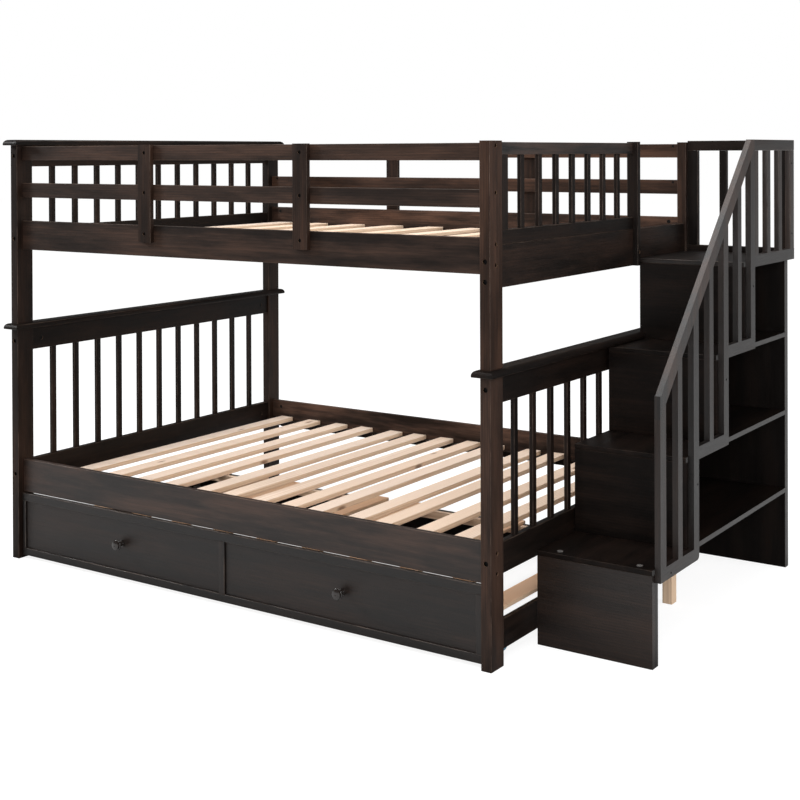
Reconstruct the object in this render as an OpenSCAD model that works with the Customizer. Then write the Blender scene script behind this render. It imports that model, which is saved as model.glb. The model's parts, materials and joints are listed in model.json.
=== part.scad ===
// Full-over-full bunk bed with a storage stair, a fenced landing and a trundle bed on casters.
// Millimetres. +X runs from the head end to the stair, -Y is the front, +Z is up, and the
// origin is on the floor under the middle of the whole piece.

/* [Bed] */
// Length over the end posts
bed_length = 2000; // [1960:5:2100]
// Width over the posts
bed_width = 1480; // [1460:5:1560]
// Height of the lower bed's posts
lower_height = 826; // [800:1:860]
// Height of the upper bed's foot posts, from the cap boards up
upper_height = 644; // [630:1:700]
// How much lower the upper head posts stop, under their cap board
head_post_drop = 2; // [0:1:20]

/* [Posts and caps] */
// Thickness of a post along the bed
post_thick = 34; // [30:1:40]
// Depth of a post across the bed
post_depth = 71; // [60:1:76]
// Thickness of a cap board
cap_thick = 20; // [18:1:26]
// Radius of the cap boards' rounded upper edges
cap_round = 15; // [8:1:15]
// Overhang of a cap board past each side of the posts
cap_side = 18; // [14:1:24]
// Overhang of a cap board past the front and the back posts
cap_end = 20; // [14:1:26]
// Size of the eased edges on every board
ease = 1.5; // [0.5:0.5:2.5]

/* [Rails and guards] */
// Thickness of rails, boards and supports
board_thick = 18; // [16:1:22]
// Set-back of the side rails from the posts' outer faces
side_setback = 25; // [20:1:28]
// Height of the lower side rails
lower_rail_h = 112; // [100:1:130]
// Floor clearance under the lower side rails
lower_rail_z = 243; // [243:1:260]
// Height of the upper side rails
upper_rail_h = 104; // [96:1:112]
// Height of the upper side rails above the lower cap boards
upper_rail_rise = 266; // [262:1:276]
// Height of the middle guard boards
middle_guard_h = 52; // [44:1:60]
// Height of the middle guard boards above the lower cap boards
middle_guard_rise = 454; // [440:1:470]
// Height of the top guard boards
top_guard_h = 50; // [40:1:60]
// Height of the top guard boards' upper edges above the lower cap boards
top_guard_rise = 638; // [620:1:640]
// Width of a guard support
support_w = 57; // [44:1:60]
// Distance from the head end to the first guard support's middle
support_from_head = 658; // [600:5:720]
// Distance from the foot end to the second guard support's middle
support_from_foot = 681; // [620:5:740]
// How much nearer the foot end the back guard supports stand
back_support_shift = 12; // [0:1:20]

/* [End panels] */
// Height of the lower panels' top rails
low_top_rail_h = 81; // [66:1:86]
// Height of the lower panels' bottom rails
low_bottom_rail_h = 90; // [80:1:100]
// Floor clearance under the lower panels' bottom rails
low_bottom_rail_z = 258; // [250:1:270]
// Height of the upper head panel's top rail
head_top_rail_h = 77; // [64:1:82]
// Height of the upper head panel's bottom rail
head_bottom_rail_h = 80; // [70:1:90]
// Number of slats in a full end panel
panel_slats = 11; // [9:1:13]
// Width of a panel slat
slat_w = 23; // [18:1:26]
// Thickness of a panel slat
slat_thick = 13; // [9:1:14]
// Thickness of the rails and boards in the end panels
panel_thick = 22; // [21:1:24]

/* [Foot guard] */
// Height of the foot end board
end_board_h = 123; // [110:1:130]
// Height of the foot end board above the lower cap boards
end_board_rise = 226; // [224:1:236]
// Height of the guard rail on the end board
guard_rail_h = 41; // [34:1:48]
// Height of the foot top rail
foot_top_rail_h = 36; // [30:1:42]
// Width of the stile beside the front foot post
stile_w = 48; // [40:1:56]
// Distance from the front to the newel at the entrance
newel_y = 968; // [950:1:972]
// Width of the newel
newel_w = 22; // [18:1:28]
// Number of slats in the foot guard
foot_slat_count = 7; // [6:1:8]

/* [Mattress decks] */
// Number of slats in the lower deck
lower_deck_count = 14; // [12:1:16]
// Width of a lower deck slat
lower_deck_w = 62; // [54:1:70]
// Thickness of a lower deck slat
lower_deck_thick = 17; // [12:1:18]
// Number of slats in the upper deck
upper_deck_count = 10; // [9:1:12]
// Width of an upper deck slat
upper_deck_w = 70; // [60:1:80]
// Thickness of an upper deck slat
upper_deck_thick = 14; // [12:1:18]
// Height of a slat ledge
ledge_h = 25; // [20:1:28]
// Depth of a slat ledge
ledge_depth = 20; // [18:1:30]

/* [Stair] */
// Width of the stair between the bed and its railing
stair_w = 365; // [340:1:400]
// Height of the first tread
first_rise = 279; // [270:1:285]
// Height between treads
rise = 272; // [268:1:276]
// Depth of a tread from riser to riser
run = 245; // [235:1:250]
// Distance from the bed's front to the first riser
stair_y = 270; // [260:1:280]
// Thickness of treads and side panels
tread_thick = 15; // [12:1:18]
// Thickness of the risers
riser_thick = 18; // [15:1:20]
// Thickness of the back panel
back_thick = 30; // [24:1:36]

/* [Railing] */
// Thickness of the railing
rail_thick = 18; // [16:1:22]
// Width of a rail post
rail_post_w = 40; // [34:1:44]
// Width of a rail baluster
baluster_w = 32; // [26:1:36]
// Height of a sole piece
sole_h = 38; // [34:1:42]
// Height of the hand rail's lower end
handrail_low_z = 768; // [750:1:800]
// Height of the hand rail's section, measured plumb
handrail_h = 61; // [54:1:68]
// Height of the fence above the landing
fence_h = 400; // [380:1:420]
// Height of the fences' top rails
fence_rail_h = 36; // [30:1:42]

/* [Trundle] */
// Depth of the trundle, front to back
trundle_depth = 1025; // [1000:5:1060]
// Height of the trundle's front board
trundle_front_h = 223; // [215:1:228]
// Floor clearance under the trundle's front and back boards
trundle_z = 12; // [10:1:12]
// Height of the trundle's end boards
trundle_end_h = 87; // [80:1:92]
// Floor clearance under the trundle's end boards
trundle_end_z = 20; // [16:1:24]
// Thickness of the trundle's end boards
trundle_end_thick = 15; // [12:1:18]
// Height of the trundle's slats above the floor
trundle_deck_z = 113; // [108:1:118]
// Thickness of the trundle's deck slats
trundle_slat_thick = 12; // [10:1:16]
// Width of a trundle deck slat
trundle_slat_w = 70; // [60:1:80]
// Number of trundle deck slats
trundle_slat_count = 10; // [8:1:12]
// Diameter of a caster wheel
wheel_d = 50; // [46:1:54]
// Width of a caster wheel
wheel_w = 18; // [16:1:20]
// Diameter of a knob
knob_d = 36; // [32:1:40]

/* [Hidden] */
$fn = 48;

// Finishes
stain = [0.22, 0.17, 0.15];
pine = [0.87, 0.75, 0.60];
steel = [0.30, 0.29, 0.28];
knob_brown = [0.12, 0.09, 0.08];
wheel_blue = [0.20, 0.42, 0.75];

// Clearances and joints
fit = 0.2;
running = 0.05;
glue = 0.1;
mortise = 10;
over = 1;
pin_r = 5;
pin_half = 24;

// Heights of the two storeys
upper_z = lower_height + cap_thick;
foot_top_z = upper_z + upper_height;
head_top_z = foot_top_z - head_post_drop;
upper_rail_z = upper_z + upper_rail_rise;
middle_guard_z = upper_z + middle_guard_rise;
end_board_z = upper_z + end_board_rise;
guard_rail_z = end_board_z + end_board_h;
guard_top_z = upper_z + top_guard_rise;
foot_rail_drop = 4;
foot_rail_z = foot_top_z - foot_rail_drop - foot_top_rail_h;

// Planes of the rails and the end panels, inside the posts
front_in = side_setback + board_thick;
back_in = bed_width - front_in;
head_in = (post_thick + board_thick) / 2;
foot_face = bed_length - (post_thick - board_thick) / 2;
foot_in = foot_face - panel_thick;
clear_width = bed_width - 2 * post_depth;

// Panel slats stand behind their rails' faces on the stair side
slat_setback = 7;
lower_foot_row_shift = 10;
foot_guard_gap = (newel_y - post_depth - stile_w - foot_slat_count * slat_w) / (foot_slat_count + 1);

// Guard supports
support_over = 2;
support_z = upper_rail_z + upper_rail_h - support_w;
support_x = [support_from_head, bed_length - support_from_foot];

// Bolts
side_bore_r = 6;
side_bore = 12;
support_bore = 9;
end_bore_r = 7.5;
end_bore = 12;
bolt_r = 3;
bolt_head = 5;
bolt_nut_in = 45;
guard_nut_in = 28;
nut_r = 7;
guard_nut_r = 5;
nut_length = 15;
side_y = side_setback + board_thick / 2;
rail_bolt_in = 27;
upper_bolt_in = 18;
guard_bolt_in = [9, 8];
low_top_bolt_drop = [43, 35];
end_board_bolt_rise = [21, 78];
lower_side_bolts = [lower_rail_z + rail_bolt_in, lower_rail_z + lower_rail_h - rail_bolt_in];
upper_side_bolts = [upper_rail_z + rail_bolt_in, upper_rail_z + upper_rail_h - upper_bolt_in];
guard_bolt_z = [middle_guard_z + middle_guard_h - guard_bolt_in[0], guard_top_z - guard_bolt_in[1]];
head_end_bolts = [upper_rail_z + head_bottom_rail_h / 2, head_top_z - head_top_rail_h / 2];
foot_end_bolts = [for (r = end_board_bolt_rise) end_board_z + r];
support_bolts = [
  upper_rail_z + upper_rail_h - support_w / 2,
  middle_guard_z + middle_guard_h / 2,
  guard_top_z - top_guard_h / 2
];
function lower_end_bolts(end) =
  [low_bottom_rail_z + low_bottom_rail_h / 2, lower_height - low_top_bolt_drop[end]];

// Decks
deck_gap = 1;
lower_deck_margin = 40;
upper_deck_margin = 46;
lower_deck_z = 271;
// The lower deck's slats were laid by hand, each this much nearer the foot end than even spacing
lower_deck_shift = [10, 25, 35, 30, 45, 25, 20, 10, -15, 10, -20];
upper_deck_z = upper_rail_z + ledge_h;
ledge_inset = 60;

// Stair
stair_x = bed_length;
rail_x = stair_x + stair_w;
stair_end = rail_x + rail_thick;
stair_back_inset = 70;
back_y = bed_width - stair_back_inset;
landing_back = back_y + back_thick;
landing_z = first_rise + 3 * rise;
riser_past_cap = min([for (k = [0:3]) if (tread_z(k) > lower_height) k]);
leg = 20;
corner_leg_depth = 23;
batten = 20;
batten_inset = 20;
shelf_leg = [33, 38];
shelf_leg_at = [157, 822];

// Railing, front to back: each post stands on the sole below it
step_post_inset = 18;
first_post_y = stair_y + step_post_inset;
landing_post_shift = 3;
fence_z = landing_z + fence_h;
fence_post_w = 35;
fence_sole_drop = 17;
step_sole_drop = 12;
level_start = 7;

// Trundle
gap_to_posts = 2;
end_gap = 4;
stands_out = 10;
trundle_front_x = post_thick + gap_to_posts;
trundle_end_x = post_thick + end_gap;
trundle_face = side_setback - stands_out;
trundle_in = trundle_face + board_thick;
trundle_back = trundle_face + trundle_depth;
trundle_slat_in = 13;
strip = 7;
cleat = 20;
cleat_h = 30;
plate = 2.5;
axle_r = 3;
cheek_gap = 1;
cheek_x = wheel_w / 2 + cheek_gap;
caster_x = trundle_end_x + trundle_end_thick + plate + cheek_x;
caster_inset = [157, 125];
caster_y = [trundle_face + caster_inset[0], trundle_back - caster_inset[1]];
knob_z = 128;
knob_inset = 467;
knob_out = 30;

// Places the whole piece over the origin
module place() {
  translate([-(stair_end - cap_side) / 2, -bed_width / 2, 0]) children();
}

// A section with eased corners
module eased(size, edge = ease) {
  w = size[0];
  h = size[1];
  polygon([[edge, 0], [w - edge, 0], [w, edge], [w, h - edge], [w - edge, h], [edge, h],
    [0, h - edge], [0, edge]]);
}

// A board between two corners, its grain and eased edges along one axis: 0, 1 or 2
module board(low, high, along) {
  s = high - low;
  if (along == 0)
    translate(low) rotate([90, 0, 90]) linear_extrude(s[0]) eased([s[1], s[2]]);
  if (along == 1)
    translate([low[0], high[1], low[2]]) rotate([90, 0, 0]) linear_extrude(s[1]) eased([s[0], s[2]]);
  if (along == 2)
    translate(low) linear_extrude(s[2]) eased([s[0], s[1]]);
}

// An outline in the Y-Z plane, given a thickness along X
module side_profile(x, thick) {
  translate([x, 0, 0]) rotate([90, 0, 90]) linear_extrude(thick) children();
}

// Repeats its children at both ends of the bed's width, front and back mirrored
module front_and_back() {
  children();
  translate([0, bed_width, 0]) mirror([0, 1, 0]) children();
}

// A bolt along -Z whose head bears on the floor of a bore this deep
module bolt(bore, bore_r, reach) {
  translate([0, 0, -bore]) cylinder(h = bolt_head, r = bore_r - 0.5);
  translate([0, 0, -reach]) cylinder(h = reach - bore, r = bolt_r);
}

module bolt_hole(bore, bore_r, reach) {
  translate([0, 0, -bore]) cylinder(h = bore + over, r = bore_r);
  translate([0, 0, -reach - over]) cylinder(h = reach + over - bore, r = bolt_r + fit);
}

// Bolts through the posts' end faces into the side rails; the drill points out of the bed
module at_side_bolts(ends, heights) {
  for (end = ends, y = [side_y, bed_width - side_y], z = heights)
    translate([end * bed_length, y, z]) rotate([0, end == 0 ? -90 : 90, 0]) children();
}

// Bolts through the posts' front and back faces into the end panels
module at_end_bolts(end, heights) {
  for (back = [0, 1], z = heights)
    translate([end == 0 ? post_thick / 2 : bed_length - post_thick / 2, back * bed_width, z])
      rotate([back == 0 ? 90 : -90, 0, 0]) children();
}

side_reach = post_thick + bolt_nut_in + nut_r;
guard_reach = post_thick + guard_nut_in + guard_nut_r;
end_reach = post_depth + bolt_nut_in + nut_r;

module side_holes(ends, heights) {
  at_side_bolts(ends, heights) bolt_hole(side_bore, side_bore_r, side_reach);
}

module guard_holes(ends) {
  at_side_bolts(ends, guard_bolt_z) bolt_hole(side_bore, side_bore_r, guard_reach);
}

module end_holes(end, heights) {
  at_end_bolts(end, heights) bolt_hole(end_bore, end_bore_r, end_reach);
}

// Holes for the barrel nuts, drilled from the rails' inner faces
module nut_holes(inset, heights, r) {
  for (x = [post_thick + inset, bed_length - post_thick - inset], z = heights)
    front_and_back() translate([x, front_in - nut_length, z]) rotate([-90, 0, 0])
      cylinder(h = nut_length + over, r = r + fit);
}

// The foot end's nuts go in from the panel's inner face, behind its extra thickness
function end_nut_x(end) = end == 0 ? head_in - nut_length : foot_face - board_thick + nut_length;

module end_nut_holes(end, heights) {
  for (z = heights) front_and_back() translate([end_nut_x(end), post_depth + bolt_nut_in, z])
    rotate([0, end == 0 ? 90 : -90, 0])
      cylinder(h = nut_length + over + end * (panel_thick - board_thick), r = nut_r + fit);
}

// Two posts at one end
module post_pair(x, low, high) {
  front_and_back() board([x, 0, low], [x + post_thick, post_depth, high], 2);
}

// The steel pins that locate the upper posts on the lower ones
module at_pins() {
  for (x = [post_thick / 2, bed_length - post_thick / 2])
    front_and_back() translate([x, post_depth / 2, 0]) children();
}

module pin_holes() {
  at_pins() translate([0, 0, lower_height - pin_half - fit])
    cylinder(h = cap_thick + 2 * (pin_half + fit), r = pin_r + fit);
}

// A cap board: flat underneath, with its upper edge rounded over all round
module cap_board(x, z) {
  w = post_thick + 2 * cap_side;
  l = bed_width + 2 * cap_end;
  translate([x - cap_side, -cap_end, z]) intersection() {
    translate([0, l, 0]) rotate([90, 0, 0]) linear_extrude(l) cap_section(w);
    rotate([90, 0, 90]) linear_extrude(w) cap_section(l);
  }
}

module cap_section(w) {
  r = cap_round;
  shoulder = cap_thick - r;
  polygon([[ease, 0], [w - ease, 0], [w, ease], [w, shoulder], [w - r, cap_thick], [r, cap_thick],
    [0, shoulder], [0, ease]]);
  intersection() {
    translate([0, shoulder]) square([w, r]);
    for (x = [r, w - r]) translate([x, shoulder]) circle(r);
  }
}

// End rails run between the posts, in the middle of their thickness
module end_rail(end, low, high, y0 = post_depth, y1 = bed_width - post_depth) {
  x = end == 0 ? head_in - panel_thick : foot_in;
  board([x, y0, low], [x + panel_thick, y1, high], 1);
}

function slat_x(end) = (end == 0 ? head_in : foot_face) - slat_setback - slat_thick;

module panel_slat(end, y, low, high, grow = 0) {
  translate([slat_x(end) - grow, y - slat_w / 2 - grow, low])
    linear_extrude(high - low) eased([slat_thick + 2 * grow, slat_w + 2 * grow], grow > 0 ? 0.01 : ease);
}

// Full panels share the clear width evenly among their slats
module panel_slat_row(end, low, high, grow = 0) {
  pitch = clear_width / (panel_slats + 1);
  start = post_depth - (end == 1 ? lower_foot_row_shift : 0);
  for (k = [1:panel_slats]) panel_slat(end, start + k * pitch, low, high, grow);
}

module foot_slat_row(low, high, grow = 0) {
  for (k = [0:foot_slat_count - 1])
    panel_slat(1, post_depth + stile_w + (k + 1) * foot_guard_gap + (k + 0.5) * slat_w, low, high, grow);
}

// Side rails and guard boards between the posts, at the front
module side_board(low, high) {
  board([post_thick, side_setback, low], [bed_length - post_thick, front_in, high], 0);
}

module back_board(low, high) {
  board([post_thick, back_in, low], [bed_length - post_thick, back_in + board_thick, high], 0);
}

// The guard supports' outer faces at the front and the back; the drill points out of the bed
support_out = side_setback - board_thick;
support_reach = 2 * board_thick - 3;

module at_supports(heights) {
  for (back = [0, 1], x = support_x, z = heights)
    translate([x + back * back_support_shift, back == 0 ? support_out : bed_width - support_out, z])
      rotate([back == 0 ? 90 : -90, 0, 0]) children();
}

module support_holes() {
  at_supports(support_bolts) bolt_hole(support_bore, side_bore_r, support_reach);
}

// Slats of a mattress deck, spread evenly between a margin at each end
module deck(count, w, z, thick, low_x, high_x, y0, y1, shift = []) {
  pitch = (high_x - low_x - w) / (count - 1);
  for (k = [0:count - 1]) {
    x = low_x + k * pitch + (k < len(shift) ? shift[k] : 0);
    board([x, y0, z], [x + w, y1, z + thick], 1);
  }
}

module lower_head_posts() color(stain) difference() {
  post_pair(0, 0, lower_height);
  side_holes([0], lower_side_bolts);
  end_holes(0, lower_end_bolts(0));
  pin_holes();
}

module lower_foot_posts() color(stain) difference() {
  post_pair(bed_length - post_thick, 0, lower_height);
  side_holes([1], lower_side_bolts);
  end_holes(1, lower_end_bolts(1));
  pin_holes();
}

module lower_head_cap() color(stain) difference() {
  cap_board(0, lower_height);
  pin_holes();
}

// The stair side of this cap is cut flush with the posts from the first riser that rises past it
module lower_foot_cap() color(stain) difference() {
  cap_board(bed_length - post_thick, lower_height);
  pin_holes();
  translate([bed_length, riser_y(riser_past_cap) - fit, lower_height - over])
    cube([cap_side + over, bed_width, cap_thick + 2 * over]);
}

module lower_panel_rails(end) {
  difference() {
    union() {
      end_rail(end, low_bottom_rail_z, low_bottom_rail_z + low_bottom_rail_h);
      end_rail(end, lower_height - low_top_rail_h, lower_height);
    }
    panel_slat_row(end, low_bottom_rail_z + low_bottom_rail_h - mortise,
      lower_height - low_top_rail_h + mortise, fit);
    end_holes(end, lower_end_bolts(end));
    end_nut_holes(end, lower_end_bolts(end));
  }
}

module lower_head_rails() color(stain) lower_panel_rails(0);
module lower_foot_rails() color(stain) lower_panel_rails(1);

module lower_panel_slats(end) {
  panel_slat_row(end, low_bottom_rail_z + low_bottom_rail_h - mortise,
    lower_height - low_top_rail_h + mortise - fit);
}

module lower_head_slats() color(stain) lower_panel_slats(0);
module lower_foot_slats() color(stain) lower_panel_slats(1);

module lower_side(back) {
  difference() {
    if (back) back_board(lower_rail_z, lower_rail_z + lower_rail_h);
    else side_board(lower_rail_z, lower_rail_z + lower_rail_h);
    side_holes([0, 1], lower_side_bolts);
    nut_holes(bolt_nut_in, lower_side_bolts, nut_r);
  }
}

module lower_front_rail() color(stain) lower_side(false);
module lower_back_rail() color(stain) lower_side(true);

module slat_ledges() color(stain) {
  for (z = [lower_deck_z, upper_deck_z]) front_and_back()
    board([post_thick + ledge_inset, front_in, z - ledge_h],
      [bed_length - post_thick - ledge_inset, front_in + ledge_depth, z], 0);
}

module lower_mattress_slats() color(pine)
  deck(lower_deck_count, lower_deck_w, lower_deck_z, lower_deck_thick,
    post_thick + lower_deck_margin, bed_length - post_thick - lower_deck_margin,
    front_in + deck_gap, back_in - deck_gap, lower_deck_shift);

module upper_mattress_slats() color(pine)
  deck(upper_deck_count, upper_deck_w, upper_deck_z, upper_deck_thick,
    post_thick + upper_deck_margin, bed_length - post_thick - upper_deck_margin,
    front_in + deck_gap, back_in - deck_gap);

module upper_head_posts() color(stain) difference() {
  post_pair(0, upper_z, head_top_z);
  side_holes([0], upper_side_bolts);
  guard_holes([0]);
  end_holes(0, head_end_bolts);
  pin_holes();
}

module upper_foot_posts() color(stain) difference() {
  post_pair(bed_length - post_thick, upper_z, foot_top_z);
  side_holes([1], upper_side_bolts);
  guard_holes([1]);
  end_holes(1, foot_end_bolts);
  pin_holes();
}

module upper_head_cap() color(stain) cap_board(0, head_top_z);

module upper_head_rails() color(stain) difference() {
  union() {
    end_rail(0, upper_rail_z, upper_rail_z + head_bottom_rail_h);
    end_rail(0, head_top_z - head_top_rail_h, head_top_z);
  }
  panel_slat_row(0, upper_rail_z + head_bottom_rail_h - mortise,
    head_top_z - head_top_rail_h + mortise, fit);
  end_holes(0, head_end_bolts);
  end_nut_holes(0, head_end_bolts);
}

module upper_head_slats() color(stain)
  panel_slat_row(0, upper_rail_z + head_bottom_rail_h - mortise,
    head_top_z - head_top_rail_h + mortise - fit);

module foot_top_rail() color(stain) difference() {
  end_rail(1, foot_rail_z, foot_rail_z + foot_top_rail_h, post_depth, newel_y);
  foot_slat_row(foot_rail_z - over, foot_rail_z + mortise, fit);
}

module foot_guard_rail() color(stain) difference() {
  end_rail(1, guard_rail_z, guard_rail_z + guard_rail_h, post_depth, newel_y);
  foot_slat_row(guard_rail_z + guard_rail_h - mortise, guard_rail_z + guard_rail_h + over, fit);
}

module foot_end_board() color(stain) difference() {
  end_rail(1, end_board_z, end_board_z + end_board_h);
  newel_bolt_hole();
  end_holes(1, foot_end_bolts);
  end_nut_holes(1, foot_end_bolts);
}

module foot_stile() color(stain)
  board([foot_in, post_depth, guard_rail_z + guard_rail_h],
    [foot_face, post_depth + stile_w, foot_rail_z], 2);

module foot_slats() color(stain)
  foot_slat_row(guard_rail_z + guard_rail_h - mortise, foot_rail_z + mortise - fit);

// The newel is halved over the end board and stands proud of it on the stair side
module foot_newel() color(stain) difference() {
  board([foot_in, newel_y, end_board_z], [foot_face + board_thick, newel_y + newel_w, foot_top_z], 2);
  translate([foot_in - over, newel_y - over, end_board_z - over])
    cube([panel_thick + over, newel_w + 2 * over, end_board_h + over]);
  newel_bolt_hole();
}

module upper_side(back) {
  difference() {
    if (back) back_board(upper_rail_z, upper_rail_z + upper_rail_h);
    else side_board(upper_rail_z, upper_rail_z + upper_rail_h);
    side_holes([0, 1], upper_side_bolts);
    nut_holes(bolt_nut_in, upper_side_bolts, nut_r);
    support_holes();
  }
}

module upper_front_rail() color(stain) upper_side(false);
module upper_back_rail() color(stain) upper_side(true);

module guard_pair(back) {
  difference() {
    for (z = [[middle_guard_z, middle_guard_z + middle_guard_h], [guard_top_z - top_guard_h, guard_top_z]])
      if (back) back_board(z[0], z[1]);
      else side_board(z[0], z[1]);
    guard_holes([0, 1]);
    nut_holes(guard_nut_in, guard_bolt_z, guard_nut_r);
    support_holes();
  }
}

module front_guard_boards() color(stain) guard_pair(false);
module back_guard_boards() color(stain) guard_pair(true);

module guard_supports() color(stain) difference() {
  for (back = [0, 1], x = support_x) {
    x0 = x + back * back_support_shift - support_w / 2;
    y0 = back == 0 ? support_out : bed_width - side_setback;
    board([x0, y0, support_z], [x0 + support_w, y0 + board_thick, guard_top_z + support_over], 2);
  }
  support_holes();
}

// Stair: tread k has its riser's front face and its top at these places
function riser_y(k) = stair_y + k * run;
function tread_z(k) = first_rise + k * rise;

module stair_risers() color(stain) for (k = [0:3])
  board([stair_x, riser_y(k), k == 0 ? 0 : tread_z(k - 1)],
    [rail_x, riser_y(k) + riser_thick, tread_z(k) - tread_thick], 0);

module tread(k, back) {
  board([stair_x, riser_y(k), tread_z(k) - tread_thick], [rail_x, back, tread_z(k)], 0);
}

module first_tread() color(stain) difference() {
  tread(0, back_y);
  tread_screw_holes();
}

module second_tread() color(stain) tread(1, back_y);
module third_tread() color(stain) tread(2, back_y);
module landing_board() color(stain) tread(3, landing_back);

// Panels that close the stair's storage towards the bed, between one shelf and the next
module stair_side_panels() color(stain) for (k = [1:3])
  board([stair_x, riser_y(k) + riser_thick, tread_z(k - 1)],
    [stair_x + tread_thick, back_y, tread_z(k) - tread_thick], 1);

module stair_back_panel() color(stain)
  board([stair_x, back_y, 0], [rail_x, landing_back, landing_z - tread_thick], 2);

// Legs behind the risers at the railing side, a cleat under the first tread's edge, and a
// batten in the corner under each tread
module stair_framing() color(stain) {
  difference() {
    union() {
      for (k = [0:3])
        board([stair_x + batten_inset, riser_y(k) + riser_thick, tread_z(k) - tread_thick - batten],
          [rail_x - leg - glue, riser_y(k) + riser_thick + batten, tread_z(k) - tread_thick], 0);
      board([rail_x - leg, riser_y(0) + riser_thick, 0],
        [rail_x, riser_y(0) + riser_thick + corner_leg_depth, tread_z(0) - tread_thick], 2);
      for (k = [1:3])
        board([rail_x - leg, riser_y(k) + riser_thick, tread_z(k - 1)],
          [rail_x, riser_y(k) + riser_thick + rail_post_w, tread_z(k) - tread_thick], 2);
      board([rail_x - leg, riser_y(0) + riser_thick + corner_leg_depth + glue, tread_z(0) - sole_h],
        [rail_x, rail_post_back(1), tread_z(0) - tread_thick], 1);
    }
    rail_screw_holes();
    tread_screw_holes();
  }
}

module stair_shelf_leg() color(pine)
  board([stair_x + shelf_leg_at[0], shelf_leg_at[1], 0],
    [stair_x + shelf_leg_at[0] + shelf_leg[0], shelf_leg_at[1] + shelf_leg[1], first_rise - tread_thick], 2);

// Railing: post k starts just behind riser k, and the sole under it joins the post before
function rail_post_y(k) = riser_y(k) + step_post_inset - (k == 3 ? landing_post_shift : 0);
function rail_post_back(k) = rail_post_y(k) + rail_post_w;
function sole_y(k) = k == 0 ? first_post_y : rail_post_back(k);
function sole_z(k) = k == 3 ? landing_z - fence_sole_drop : tread_z(k) - (k == 0 ? sole_h : step_sole_drop);
handrail_slope = (fence_z - handrail_low_z) / (rail_post_y(3) + level_start - first_post_y - 5);
function handrail_top(y) = handrail_low_z + handrail_slope * (y - first_post_y - 5);
function handrail_under(y) = handrail_top(y) - handrail_h;

module handrail() color(stain) side_profile(rail_x, rail_thick)
  polygon([
    [first_post_y, handrail_under(first_post_y)],
    [rail_post_back(3), handrail_under(rail_post_back(3))],
    [rail_post_back(3), fence_z],
    [rail_post_y(3) + level_start, fence_z],
    [first_post_y + 5, handrail_low_z],
    [first_post_y, handrail_low_z]
  ]);

// An upright from the top of a sole to the underside of the hand rail
module sloped_upright(y, w, low) {
  side_profile(rail_x, rail_thick)
    polygon([[y, low], [y + w, low], [y + w, handrail_under(y + w) - glue], [y, handrail_under(y) - glue]]);
}

module rail_posts() color(stain) difference() {
  for (k = [0:3]) {
    low = k == 0 ? sole_z(0) : sole_z(k - 1);
    sloped_upright(rail_post_y(k), rail_post_w, low + sole_h);
  }
  rail_screw_holes();
}

module rail_balusters() color(stain) for (k = [0:2]) {
  middle = (rail_post_back(k) + rail_post_y(k + 1)) / 2;
  sloped_upright(middle - baluster_w / 2, baluster_w, sole_z(k) + sole_h);
}

// Sole pieces; the lowest has a rounded corner at its back end
module rail_soles() color(stain) difference() {
  union() {
    side_profile(rail_x, rail_thick) rounded_sole(sole_y(0), rail_post_back(1), sole_z(0));
    for (k = [1:2]) side_profile(rail_x, rail_thick)
      translate([sole_y(k), sole_z(k)]) square([rail_post_back(k + 1) - sole_y(k), sole_h]);
    side_profile(rail_x, rail_thick)
      translate([sole_y(3), sole_z(3)]) square([fence_back - sole_y(3), sole_h]);
  }
  rail_screw_holes();
}

module rounded_sole(y0, y1, z) {
  r = 14;
  translate([y0, z]) square([y1 - y0 - r, sole_h]);
  translate([y1 - r, z + r]) square([r, sole_h - r]);
  translate([y1 - r, z + r]) circle(r);
}

fence_stands_back = 16;
fence_back = landing_back + fence_stands_back;
end_post_w = 42;

// Fence at the landing's side, in line with the railing
module landing_fence_side() color(stain) difference() {
  union() {
    low = sole_z(3) + sole_h;
    rail_z = fence_z - fence_rail_h;
    high = rail_z - glue;
    front = rail_post_back(3);
    clear = fence_back - end_post_w - front - fence_post_w;
    board([rail_x, front, rail_z], [stair_end, fence_back, fence_z], 1);
    board([rail_x, front, low], [stair_end, front + fence_post_w, high], 2);
    board([rail_x, fence_back - end_post_w, low], [stair_end, fence_back, high], 2);
    for (k = [1:2]) {
      y = front + fence_post_w + k * (clear - 2 * baluster_w) / 3 + (k - 1) * baluster_w;
      board([rail_x, y, low], [stair_end, y + baluster_w, high], 2);
    }
  }
  rail_screw_holes();
}

// Fence at the landing's back, standing on the landing
module landing_fence_back() color(stain) {
  x0 = stair_x + 2;
  y0 = landing_back - rail_thick;
  foot = 22;
  post = 39;
  thin = 27;
  low = landing_z + foot + glue;
  high = fence_z - fence_rail_h - glue;
  inset = 120;
  board([x0, y0, landing_z], [rail_x, landing_back, landing_z + foot], 0);
  board([x0, y0, fence_z - fence_rail_h], [rail_x, landing_back, fence_z], 0);
  difference() {
    for (x = [x0, rail_x - post]) board([x, y0, low], [x + post, landing_back, high], 2);
    rail_screw_holes();
  }
  for (x = [x0 + inset, rail_x - inset - thin]) board([x, y0, low], [x + thin, landing_back, high], 2);
}

// Screws through the railing into the legs, the cleat and the back fence
screw_r = 2;
screw_head_r = 3.5;
screw_bore = 8;
post_screw_in = [73, 30, 21, 25];
post_screw_drop = [25, 85, 78, 79];
fence_screw_in = [81, 74];
screw_head = 2.5;
screw_reach = rail_thick + 15;
screw_places = concat(
  [for (k = [0:3])
    [(k == 0 ? sole_y(0) : rail_post_y(k)) + post_screw_in[k], tread_z(k) - post_screw_drop[k]]],
  [for (z = [fence_z - fence_screw_in[0], landing_z + fence_screw_in[1]]) [landing_back - rail_thick / 2, z]]
);

module at_rail_screws() {
  for (p = screw_places) translate([stair_end, p[0], p[1]]) rotate([0, 90, 0]) children();
}

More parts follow.
